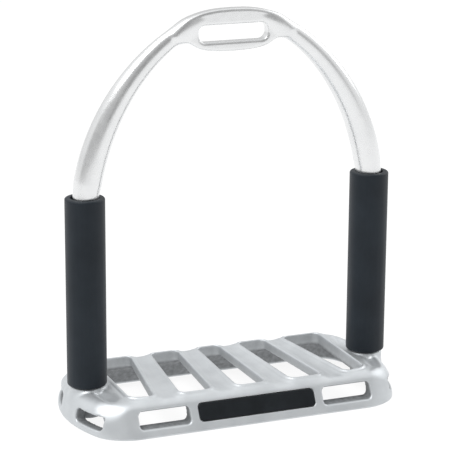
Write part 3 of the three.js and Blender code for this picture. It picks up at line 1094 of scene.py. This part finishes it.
@dataclass
class Sleeve:
    """One rubber sleeve, in three lengths that meet where the tube stays straight.

    Each length spans one joint of the linkage inside it.
    """

    side: Side
    material: bpy.types.Material
    radius: float = 8.95
    bore: float = 6.5
    low: float = 15.4
    high: float = 101.6
    lower_seam: float = 41.3
    upper_seam: float = 69.0
    rim: float = 0.9
    rows: int = 20
    sides: int = 96
    place_attribute: str = "rest_place"

    def profile(self, low: float, high: float, low_rim: float, high_rim: float) -> Array:
        """The wall's section as radius and height, anticlockwise from the foot of the bore.

        Args:
            low: Height of the foot.
            high: Height of the top.
            low_rim: Radius of the rounded outer edge at the foot, or 0 at a seam.
            high_rim: Radius of the rounded outer edge at the top, or 0 at a seam.

        Returns:
            Section points, one row each.
        """
        turn = np.linspace(0.0, math.pi / 2, 7)
        foot = np.c_[self.radius - low_rim * (1 - np.sin(turn)), low + low_rim * (1 - np.cos(turn))]
        head = np.c_[self.radius - high_rim * (1 - np.cos(turn)), high - high_rim * (1 - np.sin(turn))]
        count = self.rows + 2
        heights = np.linspace(low + low_rim, high - high_rim, count)[1:-1]
        wall = np.c_[np.full(self.rows, self.radius), heights]
        bore = np.c_[np.full(count, self.bore), np.linspace(high, low, count)]
        return np.vstack([foot if low_rim else foot[:1], wall, head if high_rim else head[:1], bore])

    def length(
        self, name: str, section: Array, bodies: tuple[str, str], bend: tuple[float, float]
    ) -> bpy.types.Object:
        """Turns one section about the arm.

        A point is (X of the arm + r cos t, r sin t, h) for each (r, h) of the section and turn t.

        Args:
            name: The piece's name.
            section: Radius and height, one row for each point.
            bodies: The bodies below and above the joint. Not used.
            bend: Heights where the bend starts and ends. Not used.

        Returns:
            The piece.
        """
        turn = np.arange(self.sides) * (2 * math.pi / self.sides)
        x = self.side.value * ARM_X
        r, h = section[:, :1], section[:, 1:]
        points = np.stack([x + r * np.cos(turn), r * np.sin(turn), h + 0.0 * turn], axis=2).reshape(-1, 3)
        grid = np.arange(len(points)).reshape(len(section), self.sides)
        across, along = np.roll(grid, -1, axis=1), np.roll(grid, -1, axis=0)
        both = np.roll(across, -1, axis=0)
        quads = np.stack([grid, across, both, along], axis=2).reshape(-1, 4)
        piece = make_piece(name, points, quads, self.material)
        piece.data.set_sharp_from_angle(angle=math.radians(50))
        store(piece, self.place_attribute, points * MM)
        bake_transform(piece)
        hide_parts(f"{self.side.label}_sleeve")
        return piece

    def build(self) -> list[bpy.types.Object]:
        """Makes the three lengths.

        Returns:
            The pieces, from the tread up.
        """
        label = self.side.label
        knuckle, link = f"{label}_knuckle", f"{label}_link"
        top = "bow" if self.side is Side.LEFT else "right_upper_pin"
        seams = (self.lower_seam, self.upper_seam)
        lengths = (
            ("lower", (self.low, seams[0], self.rim, 0.0), ("tread", knuckle), (18.5, 41.0)),
            ("middle", (*seams, 0.0, 0.0), (knuckle, link), (41.8, 54.2)),
            ("upper", (seams[1], self.high, 0.0, self.rim), (link, top), (73.0, 95.0)),
        )
        return [
            self.length(f"{label}_sleeve_{word}", self.profile(*ends), bodies, bend)
            for word, ends, bodies, bend in lengths
        ]


def dress_hardware() -> list[bpy.types.Object]:
    """Gives each CAD node that still shows its steel: the linkage, pins, screws and washers.

    Returns:
        The CAD nodes that were dressed.
    """
    steel = MachinedSteel().material()
    dressed = []
    for name, node in sorted(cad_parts.items()):
        if node.hide_render:
            continue
        node.data.materials.clear()
        node.data.materials.append(steel)
        dressed.append(node)
    return dressed


# ---- Studio ----


@dataclass(frozen=True)
class DarkBand:
    """A soft darker band of the surround, set by how far a direction points right and near.

    It comes in over rising and goes out over falling, both to the camera's right, and comes in over
    nearing, towards the camera. Depth is the share of the light that it takes away.
    """

    rising: tuple[float, float]
    falling: tuple[float, float]
    nearing: tuple[float, float]
    depth: float


@dataclass
class Studio:
    """A pale floor, soft lights, a white surround and the camera."""

    camera_at: Place = (-330.38, -807.71, 324.11)
    yaw: float = -0.3854
    pitch: float = 0.2703
    roll: float = 0.0059
    lens: float = 160.13
    level: float = 0.85
    overhead: float = 1.0
    aim_height: float = 90.0
    rise: tuple[float, float] = (-0.05, 0.6)
    dark_bands: tuple[DarkBand, ...] = (
        DarkBand((0.05, 0.3), (0.55, 0.8), (-0.2, 0.3), 0.3),
        DarkBand((-0.6, -0.3), (0.3, 0.6), (-0.6, -0.9), 0.25),
        DarkBand((-2.0, -1.9), (1.9, 2.0), (0.1, 0.6), 0.42),
    )

    def camera(self) -> None:
        """Makes the camera, turned about Z by yaw, down by pitch and round its own axis by roll."""
        ahead = np.array([
            -math.sin(self.yaw) * math.cos(self.pitch),
            math.cos(self.yaw) * math.cos(self.pitch),
            -math.sin(self.pitch),
        ])
        level = np.array([math.cos(self.yaw), math.sin(self.yaw), 0.0])
        up = np.cross(level, ahead)
        right = math.cos(self.roll) * level + math.sin(self.roll) * up
        top = math.cos(self.roll) * up - math.sin(self.roll) * level
        data = bpy.data.cameras.new("camera")
        data.lens = self.lens
        data.sensor_width = 36.0
        data.clip_start = 0.01
        data.clip_end = 50.0
        camera = bpy.data.objects.new("camera", data)
        camera.matrix_world = Matrix([
            [right[i], top[i], -ahead[i], self.camera_at[i] * MM] for i in range(3)
        ] + [[0.0, 0.0, 0.0, 1.0]])
        bpy.context.scene.collection.objects.link(camera)
        bpy.context.scene.camera = camera

    def floor(self) -> None:
        """Makes the floor, a wide plain disc."""
        g = Graph("pale_floor")
        cloud = g.grain(g.place(), 3.0)
        g.wire(
            Base_Color=g.mixed(cloud, (0.13, 0.13, 0.13), (0.15, 0.15, 0.15)),
            Roughness=0.9,
            Specular_IOR_Level=0.1,
            Emission_Color=(1.0, 1.0, 1.0, 1.0),
            Emission_Strength=0.88,
        )
        sides, radius, drop = 64, 6000.0, 0.05
        turn = np.arange(sides) * (2 * math.pi / sides)
        points = np.c_[radius * np.cos(turn), radius * np.sin(turn), np.full(sides, -drop)]
        mesh = bpy.data.meshes.new("floor")
        mesh.from_pydata((points * MM).tolist(), [], [list(range(sides))])
        mesh.materials.append(g.material)
        floor = bpy.data.objects.new("floor", mesh)
        bpy.context.scene.collection.objects.link(floor)

    def lamp(self, name: str, place: Place, size: float, power: float) -> None:
        """Adds one soft square light that looks at the middle of the iron.

        Args:
            name: The light's name.
            place: Where it is, in metres.
            size: Side of the square, in metres.
            power: Watts.
        """
        data = bpy.data.lights.new(name, "AREA")
        data.shape = "SQUARE"
        data.size = size
        data.energy = power
        lamp = bpy.data.objects.new(name, data)
        lamp.location = place
        aim = Vector((0.0, 0.0, self.aim_height * MM)) - lamp.location
        lamp.rotation_euler = aim.to_track_quat("-Z", "Y").to_euler()
        bpy.context.scene.collection.objects.link(lamp)

    def strength(self, sky: NodeTree) -> Socket:
        """The surround's strength by direction.

        Args:
            sky: The surround's nodes.

        Returns:
            The strength, rising from level to overhead, less the bands.
        """
        direction = sky.add("TexCoord").outputs["Generated"]
        right = sky.part_along(direction, (math.cos(self.yaw), math.sin(self.yaw), 0.0))
        near = sky.part_along(direction, (math.sin(self.yaw), -math.cos(self.yaw), 0.0))
        up = sky.part_along(direction, (0.0, 0.0, 1.0))
        strength = sky.smooth_step(up, *self.rise, self.level, self.overhead)
        for band in self.dark_bands:
            rising = sky.smooth_step(right, *band.rising, 0.0, 1.0)
            falling = sky.smooth_step(right, *band.falling, 1.0, 0.0)
            inward = sky.smooth_step(near, *band.nearing, 0.0, 1.0)
            share = sky.math("MULTIPLY", sky.math("MULTIPLY", rising, falling), inward)
            left_over = sky.smooth_step(share, 0.0, 1.0, 1.0, 1.0 - band.depth)
            strength = sky.math("MULTIPLY", left_over, strength)
        return strength

    def surround(self) -> None:
        """Makes the surround: plain white to the camera, banded to whatever reflects it."""
        world = bpy.data.worlds.new("surround")
        bpy.context.scene.world = world
        sky = NodeTree(world)
        banded = sky.nodes["Background"]
        sky.feed(banded.inputs["Color"], (1.0, 1.0, 1.0, 1.0))
        sky.feed(banded.inputs["Strength"], self.strength(sky))
        plain = sky.add("Background", {"Color": (1.0, 1.0, 1.0, 1.0)}).outputs[0]
        by_camera = sky.add("LightPath").outputs["Is Camera Ray"]
        mix = sky.add("MixShader", {0: by_camera, 1: banded.outputs[0], 2: plain})
        sky.feed(sky.nodes["World Output"].inputs["Surface"], mix.outputs[0])

    def build(self) -> None:
        """Sets up the whole studio."""
        self.camera()
        self.floor()
        self.surround()
        self.lamp("key_light", (-0.6, -0.15, 1.2), 0.7, 10.0)
        self.lamp("fill_light", (1.2, 0.3, 0.8), 0.8, 4.0)
        bpy.context.scene.view_settings.view_transform = "Standard"


# ---- Assembly ----


def main() -> None:
    """Builds the looks round the frame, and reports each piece."""
    logging.basicConfig(level=logging.INFO, format="%(name)s: %(message)s")
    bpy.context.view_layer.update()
    Studio().build()
    tread = Tread()
    rubber = SleeveRubber().material()
    made = [tread.build(), FrontPlate().build(tread), Bow().build()]
    for side in Side:
        made += Sleeve(side, rubber).build()
    for piece in made:
        log.info("%s: %d faces", piece.name, len(piece.data.polygons))
    for node in dress_hardware():
        log.info("%s: dressed", node.name)


if __name__ == "__main__":
    main()
